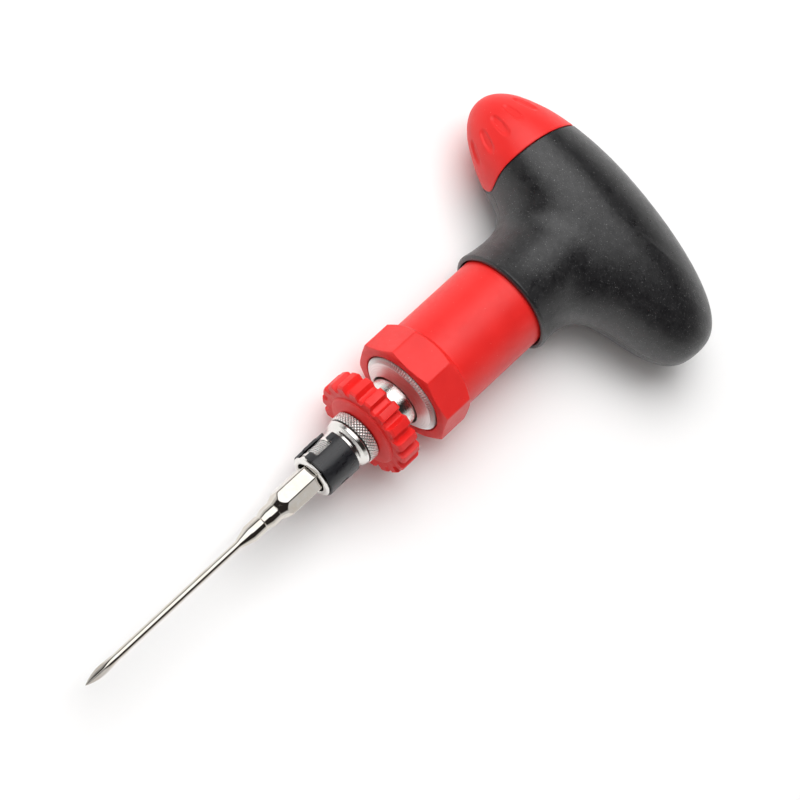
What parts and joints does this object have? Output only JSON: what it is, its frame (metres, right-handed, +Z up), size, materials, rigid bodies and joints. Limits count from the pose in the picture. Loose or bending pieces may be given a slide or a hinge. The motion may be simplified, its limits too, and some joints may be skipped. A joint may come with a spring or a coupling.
{
  "type": "tyre plug insertion tool",
  "caption": "T-handle ratchet driver with a removable spear-point needle bit, finger spinner ring, quick-release chuck and a pull-off storage cap.",
  "frame": {"origin": "under the middle of the tool's box, on the surface it lies on", "axes": "+Y along the shaft from the needle's point to the palm, +X along the T-bar from the red storage cap to the black end, +Z up as the tool lies on its side"},
  "size_m": [0.0782, 0.1776, 0.0291],
  "materials": {
    "red_plastic": "satin moulded red plastic",
    "black_rubber": "matte moulded rubber",
    "seal_rubber": "plain",
    "black_sleeve": "satin black",
    "nickel": "bright nickel plate over turned steel",
    "plain_steel": "plain",
    "zinc": "die cast",
    "bronze": "sintered bush",
    "magnet": "plated magnet"
  },
  "bodies": {
    "handle": {"rubber_grip": "black_rubber", "handle_core": "red_plastic", "ratchet_housing": "zinc", "front_cap": "nickel", "front_bush": "bronze", "rear_plate": "zinc", "rear_bush": "bronze", "pawl_pin_a": "plain_steel", "pawl_pin_b": "plain_steel", "pawl_spring": "plain_steel", "detent_ball": "plain_steel", "detent_spring": "plain_steel"},
    "cap": {"storage_cap": "red_plastic", "cap_seal": "seal_rubber"},
    "selector": {"selector_sleeve": "red_plastic"},
    "pawl_a": {"pawl_a": "plain_steel"},
    "pawl_b": {"pawl_b": "plain_steel"},
    "spindle": {"spindle": "nickel", "spinner_ring": "red_plastic", "knurled_collar": "nickel", "bit_socket": "nickel", "nose_ring": "nickel", "bit_magnet": "magnet", "lock_ball": "plain_steel", "sleeve_spring": "plain_steel", "ratchet_gear": "plain_steel", "thrust_washer": "plain_steel", "spindle_circlip": "plain_steel"},
    "sleeve": {"release_sleeve": "black_sleeve"},
    "bit": {"needle_bit": "nickel"}
  },
  "joints": [
    {"name": "spindle_spin", "type": "hinge", "parent": "handle", "child": "spindle", "pos_m": [-0.0009, 0, 0.0143], "axis": [0, 1, 0], "continuous": true},
    {"name": "selector_turn", "type": "hinge", "parent": "handle", "child": "selector", "pos_m": [-0.0009, 0, 0.0143], "axis": [0, 1, 0], "range_deg": [-20, 20]},
    {"name": "pawl_a_rock", "type": "hinge", "parent": "handle", "child": "pawl_a", "pos_m": [-0.00728, 0.02797, 0.01929], "axis": [0, 1, 0], "range_deg": [-12, 12]},
    {"name": "pawl_b_rock", "type": "hinge", "parent": "handle", "child": "pawl_b", "pos_m": [0.00548, 0.02797, 0.01929], "axis": [0, 1, 0], "range_deg": [-12, 12]},
    {"name": "cap_pull", "type": "slide", "parent": "handle", "child": "cap", "axis": [-1, 0, 0], "range_m": [0, 0.03]},
    {"name": "sleeve_slide", "type": "slide", "parent": "spindle", "child": "sleeve", "axis": [0, 1, 0], "range_m": [0, 0.0009], "stiffness_N_per_m": 400},
    {"name": "bit_pull", "type": "slide", "parent": "spindle", "child": "bit", "axis": [0, -1, 0], "range_m": [0, 0.012]}
  ],
  "couplings": [
    {"joint": "pawl_a_rock", "follows": "selector_turn", "ratio": 0.6},
    {"joint": "pawl_b_rock", "follows": "selector_turn", "ratio": 0.6}
  ]
}
